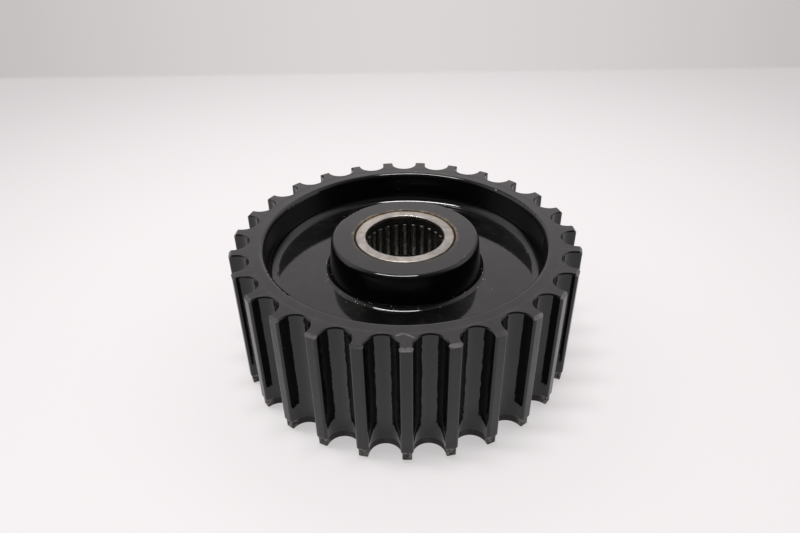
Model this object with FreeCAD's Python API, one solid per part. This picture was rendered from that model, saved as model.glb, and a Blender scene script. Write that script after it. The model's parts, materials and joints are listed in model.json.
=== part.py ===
import FreeCAD, Part
import math
import os

from FreeCAD import Vector

# Timing belt pulley that runs free on a round shaft, in millimetres.
# The Z axis is the axis of rotation, the origin is the centre of the lower face,
# and +Z points to the upper face. One tooth stands at -Y.
# The hub is level with the rim at both ends.

# Toothed rim
TEETH = 27
TOOTH_PITCH = 14.0
PITCH_LINE_OFFSET = 1.397
PITCH_RADIUS = TEETH * TOOTH_PITCH / (2 * math.pi)
OUTER_RADIUS = PITCH_RADIUS - PITCH_LINE_OFFSET
GROOVE_DEPTH = 6.1
GROOVE_RADIUS = 4.7
TIP_RADIUS = 0.85
TIP_CENTRE_OFFSET = 5.6
RIM_WIDTH = 44.3
PROFILE_BEVEL = 0.4
TIP_CHAMFER = 0.8

# Foot of the rim, where the tooth profile is drawn in at the lower end
FOOT_INSET = 0.5
FOOT_HEIGHT = 2.4
FOOT_SLOPE_HEIGHT = 1.2

# Web and hub, the same on both sides of the web
RECESS_DEPTH = 11.8
RECESS_MOUTH_RADIUS = 47.5
RECESS_FLOOR_RADIUS = 47.0
RECESS_MOUTH_ROUND = 1.4
RIM_WALL_FILLET = 3.4
HUB_FACE_RADIUS = 25.0
HUB_FOOT_RADIUS = 26.3
HUB_FACE_ROUND = 1.3
HUB_FOOT_FILLET = 1.8
BORE_RADIUS = 17.0
BORE_CHAMFER = 0.4

# Heights of the pulley's faces and of its web
BOTTOM = 0.0
TOP = RIM_WIDTH
WEB_BOTTOM = BOTTOM + RECESS_DEPTH
WEB_TOP = TOP - RECESS_DEPTH

# Needle bearing, one at each end of the hub
BEARING_WIDTH = 20.0
SHAFT_RADIUS = 13.0
NEEDLES = 27
NEEDLE_RADIUS = 1.25
NEEDLE_LENGTH = 13.0
NEEDLE_END_ROUND = 0.5
NEEDLE_CIRCLE_RADIUS = SHAFT_RADIUS + NEEDLE_RADIUS
RACE_CLEARANCE = 0.06
RACE_RADIUS = NEEDLE_CIRCLE_RADIUS + NEEDLE_RADIUS + RACE_CLEARANCE
LIP_RADIUS = 13.3
LIP_THICKNESS = 1.1
RING_OUTER_ROUND = 0.8
LIP_ROUND = 0.4
RACE_CORNER_ROUND = 0.2
CAGE_INNER_RADIUS = 13.55
CAGE_OUTER_RADIUS = 14.95
CAGE_END_CLEARANCE = 0.1
CAGE_EDGE_ROUND = 0.2
POCKET_SIDE_CLEARANCE = 0.05
POCKET_END_CLEARANCE = 0.1

BEARING_BOTTOMS = {"upper": TOP - BEARING_WIDTH, "lower": BOTTOM}

# Angle of each bearing's first needle from +Y; the lower needles stand between the upper ones
FIRST_NEEDLE_ANGLES = {"upper": 0.0, "lower": math.pi / NEEDLES}


def polar(radius, angle):
    """Point in the XY plane, with the angle in radians from -Y towards +X."""
    return Vector(radius * math.sin(angle), -radius * math.cos(angle), 0)


def arc(centre, radius, start, end):
    """Short arc about centre in the XY plane, from direction start to direction end in radians."""
    points = []
    for angle in (start, (start + end) / 2, end):
        points.append(centre + Vector(radius * math.cos(angle), radius * math.sin(angle), 0))
    return Part.Arc(*points).toShape()


def rounded_wire(corners):
    """Closed wire in the XZ plane through (x, z, corner radius), with an arc at each rounded corner."""
    points = [Vector(x, 0, z) for x, z, _ in corners]
    stretches = []
    for index, (_, _, radius) in enumerate(corners):
        corner = points[index]
        back = (points[index - 1] - corner).normalize()
        ahead = (points[(index + 1) % len(points)] - corner).normalize()
        if radius == 0:
            stretches.append((corner, corner, None))
            continue
        half_turn = back.getAngle(ahead) / 2
        trim = radius / math.tan(half_turn)
        bisector = (back + ahead).normalize()
        middle = corner + bisector * (radius / math.sin(half_turn) - radius)
        stretches.append((corner + back * trim, corner + ahead * trim, middle))
    edges = []
    for index, (start, end, middle) in enumerate(stretches):
        if middle is not None:
            edges.append(Part.Arc(start, middle, end).toShape())
        next_start = stretches[(index + 1) % len(stretches)][0]
        edges.append(Part.makeLine(end, next_start))
    return Part.Wire(edges)


def turned(corners):
    """Solid of revolution about the Z axis, from an outline of (radius, z, corner radius)."""
    face = Part.Face(rounded_wire(corners))
    return face.revolve(Vector(0, 0, 0), Vector(0, 0, 1), 360)


def tooth_outline(inset, z):
    """Closed outline of the toothed rim at height z, drawn in from the full profile by inset.

    Each groove is a round bottom, two straight flanks that are tangent to it, and two tip
    rounds that run into the land of the neighbouring tooth.
    """
    groove_radius = GROOVE_RADIUS + inset
    tip_radius = TIP_RADIUS - inset
    land_radius = OUTER_RADIUS - inset
    tip_height = math.sqrt((OUTER_RADIUS - TIP_RADIUS) ** 2 - TIP_CENTRE_OFFSET ** 2)
    groove_height = OUTER_RADIUS - GROOVE_DEPTH + GROOVE_RADIUS
    rise = tip_height - groove_height
    reach = math.hypot(TIP_CENTRE_OFFSET, rise)
    flank_normal = math.atan2(rise, TIP_CENTRE_OFFSET) - math.acos((groove_radius + tip_radius) / reach)
    tip_start = math.atan2(tip_height, TIP_CENTRE_OFFSET)
    bottom = Vector(0, groove_height, 0)
    right_tip = Vector(TIP_CENTRE_OFFSET, tip_height, 0)
    left_tip = Vector(-TIP_CENTRE_OFFSET, tip_height, 0)
    pitch_angle = 2 * math.pi / TEETH
    land_start = math.pi / 2 + math.atan2(TIP_CENTRE_OFFSET, tip_height)
    land_end = math.pi / 2 + pitch_angle - math.atan2(TIP_CENTRE_OFFSET, tip_height)

    def along(centre, radius, angle):
        return centre + Vector(radius * math.cos(angle), radius * math.sin(angle), 0)

    one_pitch = [
        arc(right_tip, tip_radius, tip_start, flank_normal + math.pi),
        Part.makeLine(
            along(right_tip, -tip_radius, flank_normal),
            along(bottom, groove_radius, flank_normal),
        ),
        arc(bottom, groove_radius, flank_normal, -math.pi - flank_normal),
        Part.makeLine(
            along(bottom, groove_radius, math.pi - flank_normal),
            along(left_tip, -tip_radius, math.pi - flank_normal),
        ),
        arc(left_tip, tip_radius, -flank_normal, math.pi - tip_start),
        arc(Vector(0, 0, 0), land_radius, land_start, land_end),
    ]
    edges = []
    for tooth in range(TEETH):
        for edge in one_pitch:
            turned_edge = edge.copy()
            turned_edge.rotate(Vector(0, 0, 0), Vector(0, 0, 1), math.degrees(tooth * pitch_angle))
            edges.append(turned_edge)
    outline = Part.Wire(Part.__sortEdges__(edges))
    outline.translate(Vector(0, 0, z))
    return outline


def toothed_blank():
    """Toothed disc over the rim's width, bevelled at the upper end and drawn in at the lower one."""
    foot = BOTTOM + FOOT_HEIGHT
    low = foot + FOOT_SLOPE_HEIGHT
    high = TOP - PROFILE_BEVEL
    middle = Part.Face(tooth_outline(0, low)).extrude(Vector(0, 0, high - low))
    lower_end = Part.Face(tooth_outline(FOOT_INSET, BOTTOM)).extrude(Vector(0, 0, foot - BOTTOM))
    slope = Part.makeLoft(
        [tooth_outline(FOOT_INSET, foot), tooth_outline(0, low)], True, True)
    upper_end = Part.makeLoft(
        [tooth_outline(0, high), tooth_outline(PROFILE_BEVEL, TOP)], True, True)
    return middle.fuse([lower_end, slope, upper_end])


def tip_envelope():
    """Turned envelope that chamfers the tooth tips at the upper end of the rim."""
    past = 1
    clear = OUTER_RADIUS + 5
    return turned([
        (0, BOTTOM - past, 0),
        (clear, BOTTOM - past, 0),
        (clear, TOP - TIP_CHAMFER - clear + OUTER_RADIUS, 0),
        (OUTER_RADIUS - TIP_CHAMFER - past, TOP + past, 0),
        (0, TOP + past, 0),
    ])


def recess(face, floor):
    """Ring-shaped recess between hub and rim, from the pulley's given face to the web."""
    outward = 1 if face > floor else -1
    outside = face + outward
    return turned([
        (HUB_FACE_RADIUS - 2 * HUB_FACE_ROUND, outside, 0),
        (HUB_FACE_RADIUS - 2 * HUB_FACE_ROUND, face, 0),
        (HUB_FACE_RADIUS, face, HUB_FACE_ROUND),
        (HUB_FOOT_RADIUS, floor, HUB_FOOT_FILLET),
        (RECESS_FLOOR_RADIUS, floor, RIM_WALL_FILLET),
        (RECESS_MOUTH_RADIUS, face, RECESS_MOUTH_ROUND),
        (RECESS_MOUTH_RADIUS + 2 * RECESS_MOUTH_ROUND, face, 0),
        (RECESS_MOUTH_RADIUS + 2 * RECESS_MOUTH_ROUND, outside, 0),
    ])


def bore():
    """Straight bore through the hub, with a chamfer at each mouth."""
    past = 1
    mouth = BORE_RADIUS + BORE_CHAMFER + past
    return turned([
        (0, BOTTOM - past, 0),
        (mouth, BOTTOM - past, 0),
        (BORE_RADIUS, BOTTOM + BORE_CHAMFER, 0),
        (BORE_RADIUS, TOP - BORE_CHAMFER, 0),
        (mouth, TOP + past, 0),
        (0, TOP + past, 0),
    ])


def pulley_body():
    """Toothed rim, web and hub in one piece."""
    body = toothed_blank().common(tip_envelope())
    upper = recess(TOP, WEB_TOP)
    lower = recess(BOTTOM, WEB_BOTTOM)
    return body.cut([upper, lower, bore()]).removeSplitter()


def bearing_ring(bottom):
    """Hardened outer ring that is pressed into the hub, with a lip at each end."""
    top = bottom + BEARING_WIDTH
    return turned([
        (LIP_RADIUS, bottom, LIP_ROUND),
        (BORE_RADIUS, bottom, RING_OUTER_ROUND),
        (BORE_RADIUS, top, RING_OUTER_ROUND),
        (LIP_RADIUS, top, LIP_ROUND),
        (LIP_RADIUS, top - LIP_THICKNESS, 0),
        (RACE_RADIUS, top - LIP_THICKNESS, RACE_CORNER_ROUND),
        (RACE_RADIUS, bottom + LIP_THICKNESS, RACE_CORNER_ROUND),
        (LIP_RADIUS, bottom + LIP_THICKNESS, 0),
    ])


def needle_angle(end, index):
    """Direction of one needle about the axis, in radians from -Y towards +X."""
    return math.pi + FIRST_NEEDLE_ANGLES[end] + 2 * math.pi * index / NEEDLES


def bearing_cage(end):
    """Sleeve that keeps the needles apart, with one pocket through its wall for each needle."""
    bottom = BEARING_BOTTOMS[end]
    low = bottom + LIP_THICKNESS + CAGE_END_CLEARANCE
    high = bottom + BEARING_WIDTH - LIP_THICKNESS - CAGE_END_CLEARANCE
    sleeve = turned([
        (CAGE_INNER_RADIUS, low, CAGE_EDGE_ROUND),
        (CAGE_OUTER_RADIUS, low, CAGE_EDGE_ROUND),
        (CAGE_OUTER_RADIUS, high, CAGE_EDGE_ROUND),
        (CAGE_INNER_RADIUS, high, CAGE_EDGE_ROUND),
    ])
    width = 2 * (NEEDLE_RADIUS + POCKET_SIDE_CLEARANCE)
    length = NEEDLE_LENGTH + 2 * POCKET_END_CLEARANCE
    pockets = []
    for index in range(NEEDLES):
        pocket = Part.makeBox(width, 2 * NEEDLE_RADIUS + 1, length)
        pocket.translate(Vector(-width / 2, -NEEDLE_RADIUS - 0.5, -length / 2))
        angle = needle_angle(end, index)
        pocket.rotate(Vector(0, 0, 0), Vector(0, 0, 1), math.degrees(angle))
        pocket.translate(polar(NEEDLE_CIRCLE_RADIUS, angle))
        pocket.translate(Vector(0, 0, bottom + BEARING_WIDTH / 2))
        pockets.append(pocket)
    return sleeve.cut(pockets)


def needle(end, index):
    """One needle with rounded ends, standing in its pocket."""
    bottom = BEARING_BOTTOMS[end]
    half = NEEDLE_LENGTH / 2
    roller = turned([
        (0, -half, 0),
        (NEEDLE_RADIUS, -half, NEEDLE_END_ROUND),
        (NEEDLE_RADIUS, half, NEEDLE_END_ROUND),
        (0, half, 0),
    ])
    roller.translate(polar(NEEDLE_CIRCLE_RADIUS, needle_angle(end, index)))
    roller.translate(Vector(0, 0, bottom + BEARING_WIDTH / 2))
    return roller


def save(name, shape):
    """Writes one node, after a check that it is a single sound solid."""
    if len(shape.Solids) != 1 or not shape.isValid():
        raise ValueError(name + " is not one valid solid")
    shape.Solids[0].exportStep(os.path.join("parts", name + ".step"))


os.makedirs("parts", exist_ok=True)
save("pulley_body", pulley_body())
for bearing, bearing_bottom in BEARING_BOTTOMS.items():
    save(bearing + "_bearing_ring", bearing_ring(bearing_bottom))
    save(bearing + "_bearing_cage", bearing_cage(bearing))
    for number in range(NEEDLES):
        save(f"{bearing}_needle_{number + 1:02d}", needle(bearing, number))
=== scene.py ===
import json
import math

import bpy
from mathutils import Matrix, Vector


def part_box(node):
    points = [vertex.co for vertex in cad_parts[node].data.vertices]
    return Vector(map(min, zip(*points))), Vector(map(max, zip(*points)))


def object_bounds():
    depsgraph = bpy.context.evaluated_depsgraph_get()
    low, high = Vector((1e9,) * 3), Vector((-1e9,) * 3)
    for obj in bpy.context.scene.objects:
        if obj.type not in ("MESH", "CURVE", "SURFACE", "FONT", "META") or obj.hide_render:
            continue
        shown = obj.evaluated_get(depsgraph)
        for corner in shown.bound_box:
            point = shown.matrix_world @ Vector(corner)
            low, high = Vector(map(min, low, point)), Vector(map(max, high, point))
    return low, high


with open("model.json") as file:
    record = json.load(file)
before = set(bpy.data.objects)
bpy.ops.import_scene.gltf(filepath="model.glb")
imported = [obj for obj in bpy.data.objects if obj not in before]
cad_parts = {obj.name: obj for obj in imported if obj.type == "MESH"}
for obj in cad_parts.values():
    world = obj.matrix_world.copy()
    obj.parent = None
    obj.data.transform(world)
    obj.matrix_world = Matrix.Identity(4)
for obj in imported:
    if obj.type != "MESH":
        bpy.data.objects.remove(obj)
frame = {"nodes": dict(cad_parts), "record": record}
cad_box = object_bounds()

MM = 0.001

# Places that the frame gives, in metres

RING_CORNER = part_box("upper_bearing_ring")[1]
UPPER_FACE = RING_CORNER.z
LOWER_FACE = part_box("lower_bearing_ring")[0].z
SEAT_RADIUS = RING_CORNER.x
OUTER_RADIUS = -cad_box[0].y

# Limits of zones, each as the two radii or the two heights between which the zone fades

TEETH = (OUTER_RADIUS - 7.5 * MM, OUTER_RADIUS - 6.2 * MM)
TOOTH_TIPS = (OUTER_RADIUS - 1.1 * MM, OUTER_RADIUS - 0.6 * MM)
FOOT_TIPS = (OUTER_RADIUS - 3.2 * MM, OUTER_RADIUS - 1.6 * MM)
RECESS = (OUTER_RADIUS - 10.5 * MM, OUTER_RADIUS - 10.0 * MM)
SEAM_IN_HUB = (SEAT_RADIUS + 0.2 * MM, SEAT_RADIUS + 0.4 * MM)
SEAM_AND_SHADE_IN_RING = (SEAT_RADIUS - 0.55 * MM, SEAT_RADIUS - 0.3 * MM)
UPPER_CHAMFERS = (UPPER_FACE - 1.1 * MM, UPPER_FACE - 0.7 * MM)
UPPER_STAIN = (UPPER_FACE - 1.0 * MM, UPPER_FACE - 0.5 * MM)
UPPER_SKIN = (UPPER_FACE - 0.3 * MM, UPPER_FACE - 0.1 * MM)
WEB = (UPPER_FACE - 10.5 * MM, UPPER_FACE - 9.5 * MM)
LOWER_STAIN = (LOWER_FACE + 0.5 * MM, LOWER_FACE + 1.0 * MM)
RIM_FOOT = (LOWER_FACE + 3.0 * MM, LOWER_FACE + 4.2 * MM)

# Bands, each as its inner radius, its outer radius and how far it fades to each side

HUB_FOOT = (SEAT_RADIUS + 9.0 * MM, SEAT_RADIUS + 12.0 * MM, 0.8 * MM)
STAIN_PATCHES = (SEAT_RADIUS - 1.0 * MM, SEAT_RADIUS + 1.1 * MM, 0.5 * MM)
STAIN_LINE = (SEAT_RADIUS - 0.2 * MM, SEAT_RADIUS + 0.7 * MM, 0.45 * MM)

# Rub mark on the body, and wear of its edges

RUB_APEX_X = -0.8 * MM
RUB_APEX_Y = 6.8 * MM - OUTER_RADIUS
RUB_SLOPE = 0.55
RUB_HALF_WIDTH = 0.35 * MM
RUB_LEFT = -3.6 * MM
RUB_RIGHT = 3.2 * MM
EDGE_WEAR_WIDTH = 0.35 * MM

# Depths of relief

NEEDLE_MARK_DEPTH = 0.002 * MM
GRINDING_DEPTH = 0.003 * MM
TOOL_MARK_DEPTH = 0.004 * MM
PEEL_DEPTH = 0.006 * MM
PHOSPHATE_DEPTH = 0.006 * MM
GRIT_DEPTH = 0.02 * MM
FLECK_DEPTH = 0.05 * MM
WAVE_DEPTH = 0.12 * MM

# Needle ends, darkened as painted shade: the dark length, how far it fades, and how far round a bearing
# they are looked for

NEEDLE_END_LENGTH = 0.5 * MM
NEEDLE_END_FADE = 0.25 * MM
BEARING_MARGIN = 5.0 * MM

# Colours of the black body, linear

BLACK_DEEP = (0.0022, 0.0021, 0.0022)
BLACK_SMUDGED = (0.0042, 0.0040, 0.0040)
BLACK_HAZE = (0.0105, 0.0102, 0.0095)
# Painted shade: the walls of the recesses are darkened below the body's own black
RECESS_WALL_PAINTED_SHADE = (0.0012, 0.0011, 0.0012)
BLACK_FOOT = (0.005, 0.0042, 0.004)
DUST = (0.24, 0.235, 0.22)
# Grit round the hub foot, coloured pale as painted glints
GRIT_PAINTED_GLINT = (0.52, 0.51, 0.49)
# Chipped edges, the rub mark, and the pale band on the upper tooth chamfers, which is partly scuffs and
# partly a painted highlight
WORN_EDGE_AND_TIP_HIGHLIGHT = (0.25, 0.245, 0.24)
BARE_FLECK = (0.30, 0.285, 0.26)
STAIN_ON_BLACK = (0.235, 0.16, 0.078)
SEAM_ON_BLACK = (0.010, 0.006, 0.004)

# Colours of the bearings, linear

GROUND_DARK = (0.29, 0.27, 0.25)
GROUND_LIGHT = (0.48, 0.45, 0.42)
STAIN_ON_STEEL = (0.40, 0.29, 0.13)
PIT = (0.10, 0.085, 0.075)
# Dark seam on the ring's outer rounded edge: partly the dark joint, partly painted shade in the crevice
# against the hub
SEAM_AND_SHADE_ON_STEEL = (0.03, 0.02, 0.014)
NEEDLE_DARK = (0.36, 0.355, 0.33)
NEEDLE_LIGHT = (0.60, 0.59, 0.555)
# Painted shade on the needle ends, where the ring's lip shades them
NEEDLE_END_PAINTED_SHADE = (0.03, 0.028, 0.025)
CAGE_DARK = (0.006, 0.0055, 0.005)
CAGE_LIGHT = (0.020, 0.0185, 0.016)


class Nodes:
    """A node tree, with short calls that make one node or a few and return the output socket."""

    def __init__(self, tree):
        self.tree = tree

    def feed(self, socket, value):
        """Gives a socket a constant, or links another node's output to it."""
        if isinstance(value, bpy.types.NodeSocket):
            self.tree.links.new(value, socket)
        elif isinstance(value, tuple) and len(socket.default_value) == 4 and len(value) == 3:
            socket.default_value = (*value, 1.0)
        else:
            socket.default_value = value

    def node(self, kind, inputs=(), **settings):
        made = self.tree.nodes.new(kind)
        for name, value in settings.items():
            setattr(made, name, value)
        for key, value in dict(inputs).items():
            self.feed(made.inputs[key], value)
        return made

    def math(self, operation, first, *others):
        """Joins two or more values with one operation, from the left, or works on a single one."""
        if not others:
            return self.node("ShaderNodeMath", {0: first}, operation=operation).outputs[0]
        for other in others:
            first = self.node("ShaderNodeMath", {0: first, 1: other}, operation=operation).outputs[0]
        return first

    def product(self, *factors):
        return self.math("MULTIPLY", *factors)

    def total(self, *values):
        return self.math("ADD", *values)

    def most(self, *values):
        return self.math("MAXIMUM", *values)

    def without(self, value):
        return self.math("SUBTRACT", 1.0, value)

    def ramp(self, value, low, high, from_low=0.0, from_high=1.0):
        """Maps value from low..high to from_low..from_high, smoothly, and clamps it."""
        ends = {"From Min": low, "From Max": high, "To Min": from_low, "To Max": from_high}
        made = self.node(
            "ShaderNodeMapRange", {"Value": value, **ends}, interpolation_type="SMOOTHSTEP"
        )
        return made.outputs["Result"]

    def rise(self, value, low, high):
        """0 below low, 1 above high."""
        return self.ramp(value, low, high)

    def fall(self, value, low, high):
        """1 below low, 0 above high."""
        return self.ramp(value, low, high, 1.0, 0.0)

    def band(self, value, low, high, soft):
        """1 where value lies between low and high, falling to 0 across them, soft to each side."""
        rise = self.rise(value, low - soft, low + soft)
        return self.product(rise, self.fall(value, high - soft, high + soft))

    def vector(self, x=0.0, y=0.0, z=0.0):
        return self.node("ShaderNodeCombineXYZ", {"X": x, "Y": y, "Z": z}).outputs[0]

    def split(self, vector):
        return self.node("ShaderNodeSeparateXYZ", {"Vector": vector}).outputs

    def length(self, vector):
        return self.node("ShaderNodeVectorMath", {0: vector}, operation="LENGTH").outputs["Value"]

    def noise(self, vector, scale, detail=3.0, roughness=0.5):
        """Cloudy noise from 0 to 1, with scale clouds to the metre where vector is a place."""
        made = self.node(
            "ShaderNodeTexNoise",
            {"Vector": vector, "Scale": scale, "Detail": detail, "Roughness": roughness},
        )
        return made.outputs["Fac"]

    def specks(self, vector, scale, size, share):
        """Small round dots on a random few cells: share is the part of the cells that has one."""
        cells = self.node("ShaderNodeTexVoronoi", {"Vector": vector, "Scale": scale})
        dot = self.fall(cells.outputs["Distance"], size * 0.6, size)
        pick = self.node("ShaderNodeSeparateColor", {"Color": cells.outputs["Color"]})
        return self.product(dot, self.math("LESS_THAN", pick.outputs[0], share))

    def mix(self, factor, first, second, data_type="RGBA"):
        made = self.node(
            "ShaderNodeMix", {"Factor": factor, "A": first, "B": second}, data_type=data_type
        )
        return made.outputs["Result"]

    def layered(self, colour, *layers):
        """Lays each layer, a pair of its mask and its colour, over what is below it."""
        for mask, laid in layers:
            colour = self.mix(mask, colour, laid)
        return colour


class Material(Nodes):
    """A surface material with one Principled shader."""

    def __init__(self, name):
        self.material = bpy.data.materials.new(name)
        self.material.use_nodes = True
        super().__init__(self.material.node_tree)
        self.tree.nodes.clear()
        self.shader = self.node("ShaderNodeBsdfPrincipled")
        self.node("ShaderNodeOutputMaterial", {"Surface": self.shader.outputs["BSDF"]})

    def surface(self, **values):
        """Sets the shader's sockets, named with underscores for spaces."""
        for name, value in values.items():
            self.feed(self.shader.inputs[name.replace("_", " ")], value)

    def relief(self, *bumps):
        """Adds up bumps, each a pair of its height from 0 to 1 and what a height of 1 measures."""
        inputs = {}
        for height, distance in bumps:
            inputs.update({"Height": height, "Distance": distance})
            inputs["Normal"] = self.node("ShaderNodeBump", inputs).outputs["Normal"]
        return inputs["Normal"]

    def place(self):
        """The point in the row frame, with its distance from the axis, its direction and its height."""
        point = self.node("ShaderNodeTexCoord").outputs["Object"]
        x, y, z = self.split(point)
        return point, self.length(self.vector(x, y)), self.math("ARCTAN2", y, x), z

    def flats_and_walls(self):
        """Two masks: 1 where the surface faces along the axis, and 1 where it stands along the axis."""
        normal = self.node("ShaderNodeNewGeometry").outputs["Normal"]
        level = self.math("ABSOLUTE", self.split(normal)[2])
        return self.rise(level, 0.8, 0.95), self.fall(level, 0.35, 0.55)

    def edges(self, width):
        """1 on convex and concave edges about width across, and 0 on open surfaces."""
        soft = self.node("ShaderNodeBevel", {"Radius": width}, samples=4)
        sharp = self.node("ShaderNodeNewGeometry").outputs["Normal"]
        dot = self.node(
            "ShaderNodeVectorMath", {0: soft.outputs["Normal"], 1: sharp}, operation="DOT_PRODUCT"
        )
        return self.fall(dot.outputs["Value"], 0.9, 0.995)


# Stain and seam round the bearing seats, which the body and the rings share


def stain_round_seat(m, point, radius, angle, z):
    """Brown staining where the bearing ring meets the hub: patchy, and least towards -Y."""
    faces = m.most(m.rise(z, *UPPER_STAIN), m.fall(z, *LOWER_STAIN))
    patches = m.rise(m.noise(point, 380.0, 4.0, 0.75), 0.42, 0.60)
    streaks = m.rise(m.noise(point, 900.0, 4.0, 0.8), 0.38, 0.68)
    patches = m.product(m.band(radius, *STAIN_PATCHES), patches)
    streaks = m.product(m.band(radius, *STAIN_LINE), streaks)
    behind = m.ramp(m.math("SINE", angle), -0.7, 0.3, 0.12, 1.0)
    return m.product(m.most(patches, streaks), faces, behind)


def seam_depth(m, point, angle):
    """How dark the seam round the bearing ring is: full, but partly filled with stain towards +Y."""
    behind = m.ramp(m.math("SINE", angle), 0.2, 0.9, 1.0, 0.35)
    return m.product(behind, m.ramp(m.noise(point, 600.0, 3.0, 0.6), 0.25, 0.55, 0.6, 1.0))


# Body


def tool_marks(m, flat, radius, angle, z):
    """Turned rings on the flat faces, and the hob's lines along the teeth elsewhere."""
    turned = m.noise(m.vector(m.product(radius, 4200.0)), 1.0, 2.0)
    along = m.vector(m.product(angle, 260.0), m.product(z, 25.0))
    return m.mix(flat, m.noise(along, 1.0, 3.0, 0.6), turned, "FLOAT")


def edge_wear_and_tip_highlight(m, point, radius, z):
    """Chipped edges all over the body, and a pale band on the chamfers at the upper end of the teeth,
    partly scuffs and partly a painted highlight.
    """
    chips = m.rise(m.noise(point, 320.0, 5.0, 0.7), 0.56, 0.70)
    fine = m.rise(m.noise(point, 420.0, 5.0, 0.75), 0.25, 0.55)
    coarse = m.ramp(m.noise(point, 55.0, 1.0), 0.35, 0.65, 0.35, 1.0)
    # pale band on the upper chamfers: partly scuffs, partly a painted highlight
    chamfer_highlight = m.product(m.rise(radius, *TOOTH_TIPS), m.rise(z, *UPPER_CHAMFERS))
    chipped = m.product(m.edges(EDGE_WEAR_WIDTH), chips, 0.5)
    return m.most(chipped, m.product(chamfer_highlight, fine, coarse, 0.75))


def rubbed_tooth(m, point, z):
    """Pale rub mark, bent like a shallow arrow, on the upper face behind the tooth at -Y."""
    x, y, _ = m.split(point)
    bend = m.product(m.math("ABSOLUTE", m.total(x, -RUB_APEX_X)), RUB_SLOPE)
    across = m.total(y, -RUB_APEX_Y, bend)
    line = m.band(across, -RUB_HALF_WIDTH, RUB_HALF_WIDTH, 0.3 * MM)
    length = m.band(x, RUB_LEFT, RUB_RIGHT, 0.8 * MM)
    broken = m.rise(m.noise(point, 700.0, 4.0, 0.7), 0.38, 0.6)
    return m.product(line, length, broken, m.rise(z, *UPPER_SKIN))


def gloss_black():
    """Hard gloss black finish over machined steel, with turned and hobbed tool marks under it."""
    m = Material("gloss_black")
    point, radius, angle, z = m.place()
    flat, wall = m.flats_and_walls()
    in_teeth = m.rise(radius, *TEETH)
    recess_wall = m.product(wall, m.fall(radius, *RECESS))
    hub_foot = m.product(m.band(radius, *HUB_FOOT), m.fall(z, *WEB))
    rim_foot = m.product(in_teeth, m.fall(z, *RIM_FOOT))

    smudge = m.noise(point, 45.0, 4.0, 0.6)
    haze = m.product(flat, m.rise(m.noise(point, 130.0, 5.0, 0.7), 0.42, 0.72))
    peel = m.noise(point, 900.0, 2.0)
    waves = m.product(m.noise(m.vector(angle, m.product(z, 9.0)), 22.0), in_teeth)
    dust = m.specks(point, 420.0, 0.14, 0.03)
    grit = m.specks(point, 1100.0, 0.25, 0.08)
    # grit round the hub foot, painted pale to stand in for the glints it catches
    grit_glints = m.product(m.specks(point, 1300.0, 0.22, 0.14), hub_foot)
    flecks = m.rise(m.noise(point, 850.0, 4.0, 0.8), 0.42, 0.62)
    bare = m.product(rim_foot, m.rise(radius, *FOOT_TIPS), flecks, 0.85)
    # edge wear and rub mark, with the painted highlight on the upper tooth chamfers
    wear_and_tip_highlight = m.most(edge_wear_and_tip_highlight(m, point, radius, z), m.product(rubbed_tooth(m, point, z), 0.45))
    stain = stain_round_seat(m, point, radius, angle, z)
    seam = m.product(m.fall(radius, *SEAM_IN_HUB), seam_depth(m, point, angle))

    colour = m.layered(
        m.mix(smudge, BLACK_DEEP, BLACK_SMUDGED),
        (haze, BLACK_HAZE),
        # painted shade on the recess walls
        (recess_wall, RECESS_WALL_PAINTED_SHADE),
        (m.product(dust, 0.4), DUST),
        (grit_glints, GRIT_PAINTED_GLINT),
        (wear_and_tip_highlight, WORN_EDGE_AND_TIP_HIGHLIGHT),
        (m.product(stain, 0.65), STAIN_ON_BLACK),
        (seam, SEAM_ON_BLACK),
        (m.product(rim_foot, 0.9), BLACK_FOOT),
        (bare, BARE_FLECK),
    )
    film = m.ramp(smudge, 0.3, 0.75, 0.045, 0.085)
    rough = m.total(film, m.product(grit, 0.10), m.product(m.most(stain, wear_and_tip_highlight), 0.3))
    rough = m.most(rough, m.product(seam, 0.7), m.product(recess_wall, 0.21), m.product(rim_foot, 0.6))
    normal = m.relief(
        (tool_marks(m, flat, radius, angle, z), TOOL_MARK_DEPTH),
        (peel, PEEL_DEPTH),
        (waves, WAVE_DEPTH),
        (m.most(m.product(grit, 0.3), dust, stain), GRIT_DEPTH),
        (flecks, m.product(rim_foot, FLECK_DEPTH)),
    )
    m.surface(Base_Color=colour, Roughness=rough, Metallic=m.product(bare, 0.7), Normal=normal)
    return m.material


# Bearings


def ground_steel():
    """Hardened bearing steel, ground flat on its faces, with a little brown staining at the edge."""
    m = Material("ground_steel")
    point, radius, angle, z = m.place()
    lay = m.noise(m.vector(m.product(radius, 9000.0), m.product(angle, 3.0)), 1.0)
    cloud = m.noise(point, 260.0, 4.0, 0.65)
    pits = m.specks(point, 1100.0, 0.25, 0.05)
    stain = stain_round_seat(m, point, radius, angle, z)
    # dark joint at the ring's edge, with painted shade on its rounded edge in the crevice
    seam = m.product(m.rise(radius, *SEAM_AND_SHADE_IN_RING), seam_depth(m, point, angle))
    colour = m.layered(
        m.mix(m.rise(cloud, 0.3, 0.7), GROUND_DARK, GROUND_LIGHT),
        (m.product(stain, 0.8), STAIN_ON_STEEL),
        (m.product(pits, 0.5), PIT),
        (m.product(seam, 0.9), SEAM_AND_SHADE_ON_STEEL),
    )
    rough = m.total(m.ramp(cloud, 0.3, 0.7, 0.26, 0.38), m.product(m.most(stain, seam), 0.3))
    normal = m.relief((lay, GRINDING_DEPTH))
    m.surface(Base_Color=colour, Metallic=1.0, Roughness=rough, Normal=normal)
    return m.material


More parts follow.
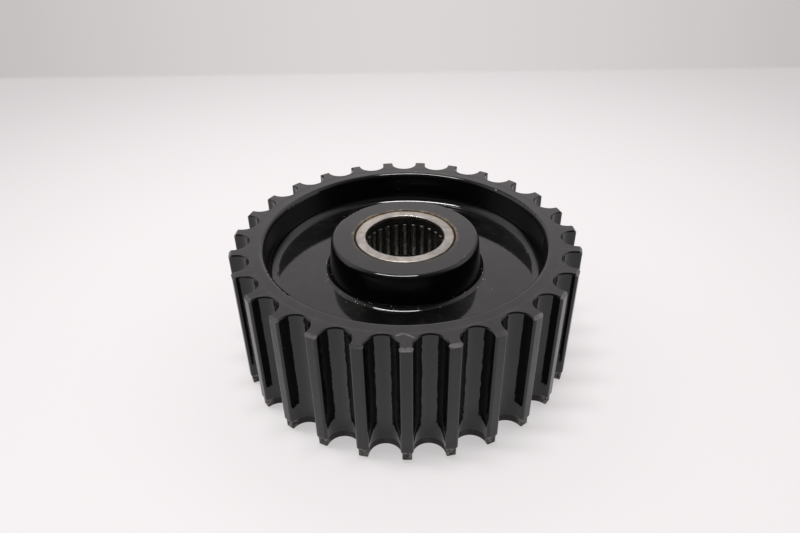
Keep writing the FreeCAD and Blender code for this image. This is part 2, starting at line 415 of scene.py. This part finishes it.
def needle_ends(m, z, bearing):
    """1 on the rounded ends of one bearing's needles."""
    low, high = (corner.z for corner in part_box(bearing + "_needle_01"))
    within = m.band(z, low - BEARING_MARGIN, high + BEARING_MARGIN, 0.1 * MM)
    shank = m.band(z, low + NEEDLE_END_LENGTH, high - NEEDLE_END_LENGTH, NEEDLE_END_FADE)
    return m.product(within, m.without(shank))


def polished_needle():
    """Polished needle steel under a film of oil, with painted shade darkening the ends and fine marks
    round each needle.
    """
    m = Material("polished_needle")
    point, _, _, z = m.place()
    rings = m.noise(m.vector(0.0, 0.0, m.product(z, 6000.0)), 1.0, 2.0)
    film = m.noise(point, 500.0)
    ends = m.most(needle_ends(m, z, "upper"), needle_ends(m, z, "lower"))
    # painted shade on the ends of the needles
    colour = m.layered(m.mix(film, NEEDLE_DARK, NEEDLE_LIGHT), (m.product(ends, 0.75), NEEDLE_END_PAINTED_SHADE))
    rough = m.total(m.ramp(film, 0.35, 0.7, 0.16, 0.28), m.product(ends, 0.2))
    normal = m.relief((rings, NEEDLE_MARK_DEPTH))
    m.surface(Base_Color=colour, Metallic=1.0, Roughness=rough, Normal=normal)
    return m.material


def dark_cage():
    """Phosphated sheet steel, nearly black with oil."""
    m = Material("dark_cage")
    point, _, _, _ = m.place()
    grain = m.noise(point, 1500.0, 4.0, 0.7)
    colour = m.mix(grain, CAGE_DARK, CAGE_LIGHT)
    rough = m.ramp(m.noise(point, 260.0), 0.3, 0.7, 0.32, 0.55)
    m.surface(Base_Color=colour, Roughness=rough, Normal=m.relief((grain, PHOSPHATE_DEPTH)))
    return m.material


def dress_cad_nodes():
    """Gives every CAD node the finish of its slot in the record."""
    finishes = {
        "black_body": gloss_black(),
        "bearing_steel": ground_steel(),
        "needle_steel": polished_needle(),
        "cage_dark": dark_cage(),
    }
    for row in frame["record"]["subparts"]:
        mesh = frame["nodes"][row["node"]].data
        mesh.materials.clear()
        mesh.materials.append(finishes[row["material_slot"]])


# Table, reaching to a soft edge behind the part and far past it on the other sides

TABLE_BACK = 0.33
TABLE_REACH = 3.0
TABLE_EDGE_SOFTNESS = 0.012
TABLE_DROP = 0.02 * MM
TABLE_DARK = (0.335, 0.324, 0.327)
TABLE_LIGHT = (0.347, 0.336, 0.338)
TABLE_GRAIN_DEPTH = 0.003 * MM
# Painted light: the table glows, more near the part than far from it
PAINTED_GLOW_COLOUR = (1.0, 0.966, 0.973)
PAINTED_GLOW_NEAR, PAINTED_GLOW_FAR = 0.50, 0.28
PAINTED_GLOW_FADE_START, PAINTED_GLOW_FADE_END = 0.10, 0.45


def table_finish():
    """White acrylic sheet that fades out at the table's back edge, and glows as painted light,
    strongest near the part and weaker far from it, which lightens the shadows round the part.
    """
    m = Material("white_acrylic")
    point = m.node("ShaderNodeTexCoord").outputs["Object"]
    x, y, _ = m.split(point)
    from_axis = m.length(m.vector(x, y))
    m.surface(
        Base_Color=m.mix(m.noise(point, 3.0), TABLE_DARK, TABLE_LIGHT),
        Roughness=0.55,
        Normal=m.relief((m.noise(point, 2500.0, 2.0), TABLE_GRAIN_DEPTH)),
        Alpha=m.fall(y, TABLE_BACK - TABLE_EDGE_SOFTNESS, TABLE_BACK),
        # painted light: the table's glow, fading with distance from the part
        Emission_Color=PAINTED_GLOW_COLOUR,
        Emission_Strength=m.ramp(from_axis, PAINTED_GLOW_FADE_START, PAINTED_GLOW_FADE_END, PAINTED_GLOW_NEAR, PAINTED_GLOW_FAR),
    )
    return m.material


def make_table():
    """Plain pale table top just under the part, with its back edge in sight."""
    corners = [
        (-TABLE_REACH, -TABLE_REACH, 0),
        (TABLE_REACH, -TABLE_REACH, 0),
        (TABLE_REACH, TABLE_BACK, 0),
        (-TABLE_REACH, TABLE_BACK, 0),
    ]
    mesh = bpy.data.meshes.new("table")
    mesh.from_pydata(corners, [], [(0, 1, 2, 3)])
    mesh.materials.append(table_finish())
    table = bpy.data.objects.new("table", mesh)
    table.location.z = cad_box[0].z - TABLE_DROP
    bpy.context.scene.collection.objects.link(table)


# Room and lamp

WALL_LOW = (0.70, 0.668, 0.668)
WALL_HIGH = (1.05, 1.0, 1.0)
LAMP_PLACE = (-0.105, 0.02, 0.90)
LAMP_WIDTH = 0.46
LAMP_DEPTH = 0.10
LAMP_POWER = 6.0


def make_room():
    """White room by direction: grey walls at table height, brighter above, dark overhead and to -Y."""
    world = bpy.data.worlds.new("room")
    bpy.context.scene.world = world
    world.use_nodes = True
    n = Nodes(world.node_tree)
    x, y, z = n.split(n.node("ShaderNodeTexCoord").outputs["Generated"])
    dark_corners = n.product(x, x, 0.8, n.rise(y, 0.3, 0.8))
    dark_sides = n.most(n.ramp(x, -0.55, -0.25, 0.85, 0.0), n.ramp(x, 0.35, 0.65, 0.0, 0.6))
    low_in_back = n.product(n.band(z, 0.05, 0.42, 0.1), n.rise(y, 0.2, 0.6))
    darker_front = n.ramp(y, -0.45, 0.05, 0.12, 1.0)
    dim_overhead = n.ramp(z, 0.72, 0.92, 1.0, 0.35)
    lit = n.product(n.without(dark_corners), n.without(n.product(dark_sides, low_in_back)))
    strength = n.product(lit, darker_front, dim_overhead)
    background = world.node_tree.nodes["Background"]
    n.feed(background.inputs["Color"], n.mix(n.rise(z, 0.0, 0.5), WALL_LOW, WALL_HIGH))
    n.feed(background.inputs["Strength"], strength)


def make_lamp():
    """Wide soft light overhead that shines straight down, a little to the left of the part."""
    light = bpy.data.lights.new("overhead", "AREA")
    light.shape = "RECTANGLE"
    light.size = LAMP_WIDTH
    light.size_y = LAMP_DEPTH
    light.energy = LAMP_POWER
    lamp = bpy.data.objects.new("overhead", light)
    lamp.location = LAMP_PLACE
    bpy.context.scene.collection.objects.link(lamp)


# Camera, set out from the centre of the rim's upper face

LENS = 28.95
SENSOR = 36.0
CAMERA_ELEVATION = math.radians(33.81)
CAMERA_TURN = math.radians(0.55)
CAMERA_ROLL = math.radians(-0.95)
CAMERA_DISTANCE = 3.7172 * OUTER_RADIUS
AIM_LEFT = 0.0279 * OUTER_RADIUS
AIM_BELOW = 0.1822 * OUTER_RADIUS
CLIP_START, CLIP_END = 0.01, 20.0


def make_camera():
    """Camera in front of the part and above it, aimed a little to the left of the rim and below it."""
    up_axis = Vector((0, 0, 1))
    right = Vector((math.cos(CAMERA_TURN), math.sin(CAMERA_TURN), 0))
    ahead = up_axis.cross(right)
    up = ahead * math.sin(CAMERA_ELEVATION) + up_axis * math.cos(CAMERA_ELEVATION)
    back = up_axis * math.sin(CAMERA_ELEVATION) - ahead * math.cos(CAMERA_ELEVATION)
    right_rolled = right * math.cos(CAMERA_ROLL) + up * math.sin(CAMERA_ROLL)
    up_rolled = up * math.cos(CAMERA_ROLL) - right * math.sin(CAMERA_ROLL)
    place = Vector((0, 0, UPPER_FACE))
    place += back * CAMERA_DISTANCE - right_rolled * AIM_LEFT - up_rolled * AIM_BELOW
    data = bpy.data.cameras.new("camera")
    data.lens = LENS
    data.sensor_width = SENSOR
    data.clip_start = CLIP_START
    data.clip_end = CLIP_END
    camera = bpy.data.objects.new("camera", data)
    turn = Matrix((right_rolled, up_rolled, back)).transposed()
    camera.matrix_world = Matrix.Translation(place) @ turn.to_4x4()
    bpy.context.scene.collection.objects.link(camera)
    bpy.context.scene.camera = camera


make_camera()
dress_cad_nodes()
make_table()
make_room()
make_lamp()
bpy.context.scene.view_settings.view_transform = "Standard"
